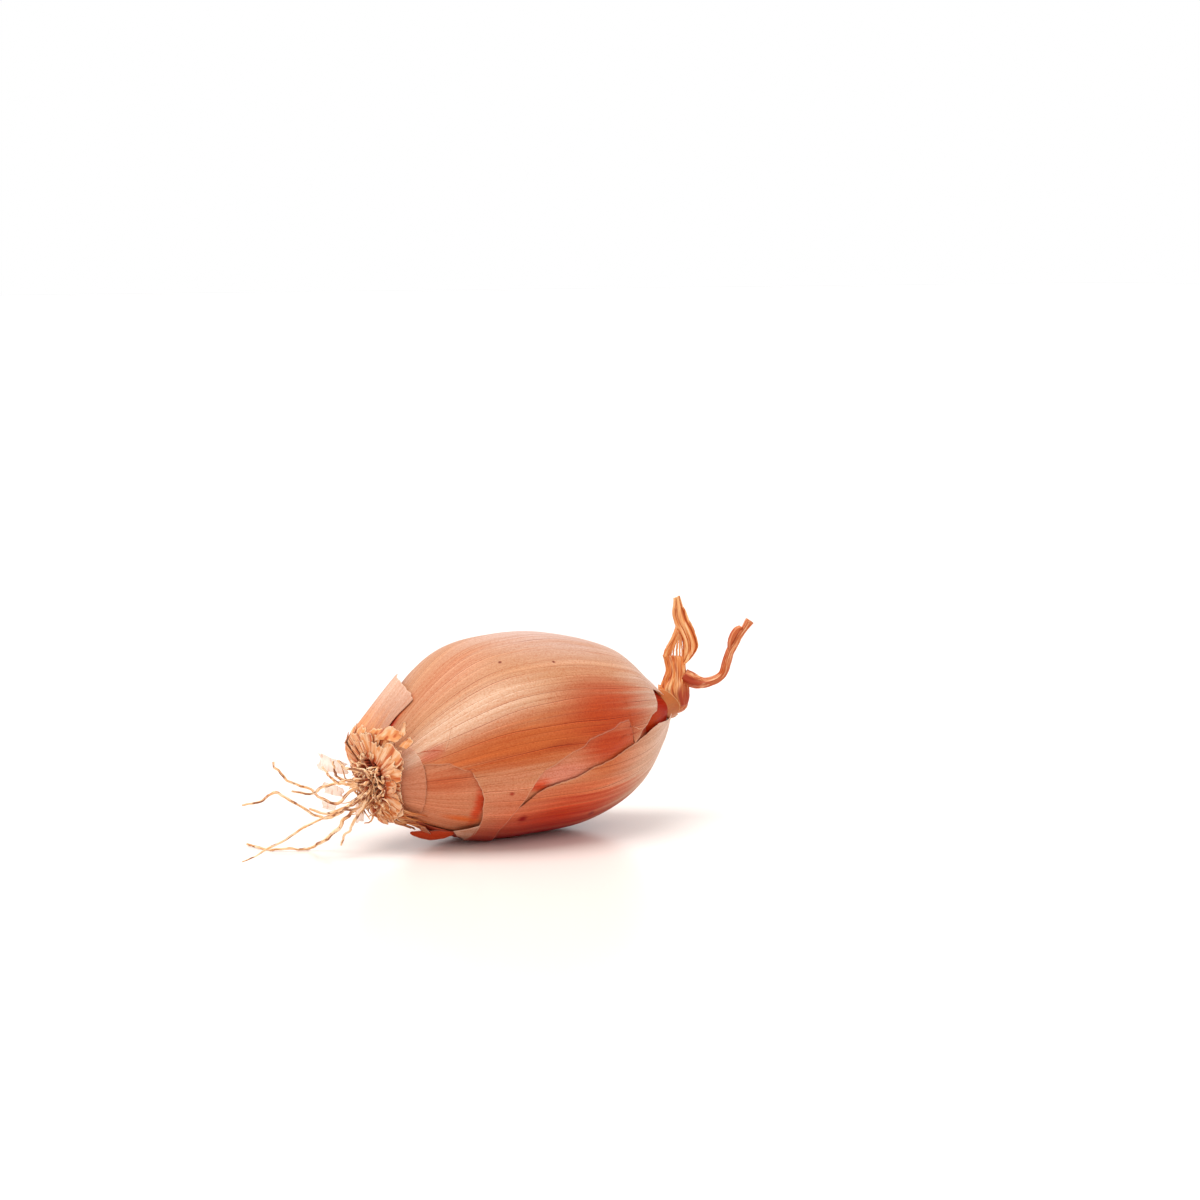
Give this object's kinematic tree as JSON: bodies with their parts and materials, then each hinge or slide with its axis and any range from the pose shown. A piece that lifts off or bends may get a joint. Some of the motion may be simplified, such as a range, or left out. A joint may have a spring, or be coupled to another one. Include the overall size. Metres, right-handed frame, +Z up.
{
  "type": "shallot",
  "caption": "Whole long shallot lying on its side, with torn dry skins, a root plate with dry roots, and dried leaf stems.",
  "frame": {"origin": "under the middle of the whole object's box, on the surface that the shallot lies on", "axes": "+X from the root end to the neck, +Z up, -Y the side with the torn skin"},
  "size_m": [0.1272, 0.045, 0.0493],
  "materials": {
    "outer_skin": "thin dry papery skin, satin, copper orange with fine lengthwise veins",
    "second_skin": "thin dry papery skin, satin, rose orange with fine lengthwise veins",
    "clear_skin": "very thin half clear papery skin",
    "inner_skin": "glossy skin, deep orange red",
    "frill": "brittle ragged papery flakes, cream and peach, matt",
    "root_plate": "corky brown, matt",
    "roots": "dry straw-coloured fibres with brown patches, matt",
    "dry_stem": "shrivelled dry leaf, golden orange with rust streaks",
    "collar": "dry tan skin, matt"
  },
  "bodies": {
    "root": {"bulb": "inner_skin", "second_skin": "second_skin", "outer_skin": "outer_skin", "skin_remnant": "clear_skin", "lifted_skin_flap": "outer_skin", "root_frill": "frill", "basal_plate": "root_plate", "root_mat": "roots", "root_rising": "roots", "root_kinked": "roots", "root_to_table_front": "roots", "root_to_table_back": "roots", "root_hanging": "roots", "root_straight": "roots", "root_hooked_front": "roots", "root_hooked_back": "roots", "root_looped": "roots", "root_short_brown": "roots", "neck": "dry_stem", "neck_collar": "collar", "leaf_stem_upright": "dry_stem", "leaf_stem_side": "dry_stem", "underside_scrap": "second_skin"}
  },
  "joints": []
}
